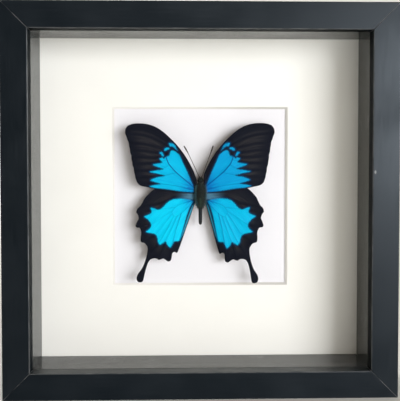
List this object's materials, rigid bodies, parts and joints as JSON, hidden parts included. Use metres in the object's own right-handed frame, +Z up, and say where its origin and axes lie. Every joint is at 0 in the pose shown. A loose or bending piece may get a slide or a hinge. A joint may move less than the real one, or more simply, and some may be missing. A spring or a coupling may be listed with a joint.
{
  "type": "framed butterfly specimen",
  "caption": "Square black shadow box frame with a white mat window, holding a spread blue and black swallowtail butterfly behind clear glazing.",
  "frame": {"origin": "middle of the frame's footprint, on the surface it stands on", "axes": "+Z up; the glazed front faces -Y and the back +Y; +X is to the right seen from the front"},
  "size_m": [0.25, 0.045, 0.25],
  "materials": {
    "black_foil": "satin black foil with a faint grain over fibreboard",
    "spacer_black": "satin black foil",
    "clear_glass": "clear, polished",
    "mat_white": "matt warm white with a white core",
    "card_white": "matt cool white",
    "hardboard": "pressed brown fibreboard",
    "steel": "zinc-plated, dull",
    "foam_white": "matt closed-cell foam",
    "insect_body": "dark chitin under fine hairs with a green sheen",
    "wing_scales": "bright blue scales with black borders, soft sheen"
  },
  "bodies": {
    "root": {"rail_bottom": "black_foil", "rail_left": "black_foil", "rail_top": "black_foil", "rail_right": "black_foil", "spacer_bottom": "spacer_black", "spacer_left": "spacer_black", "spacer_top": "spacer_black", "spacer_right": "spacer_black", "glazing": "clear_glass", "mat_board": "mat_white", "backing_card": "card_white", "backboard": "hardboard", "tab_bottom_1": "steel", "tab_bottom_2": "steel", "tab_left_1": "steel", "tab_left_2": "steel", "tab_top_1": "steel", "tab_top_2": "steel", "tab_right_1": "steel", "tab_right_2": "steel", "hanger_plate": "steel", "rivet_1": "steel", "rivet_2": "steel", "support_block": "foam_white", "body": "insect_body", "antenna_left": "insect_body", "antenna_right": "insect_body", "forewing_left": "wing_scales", "forewing_right": "wing_scales", "hindwing_left": "wing_scales", "hindwing_right": "wing_scales"}
  },
  "joints": []
}
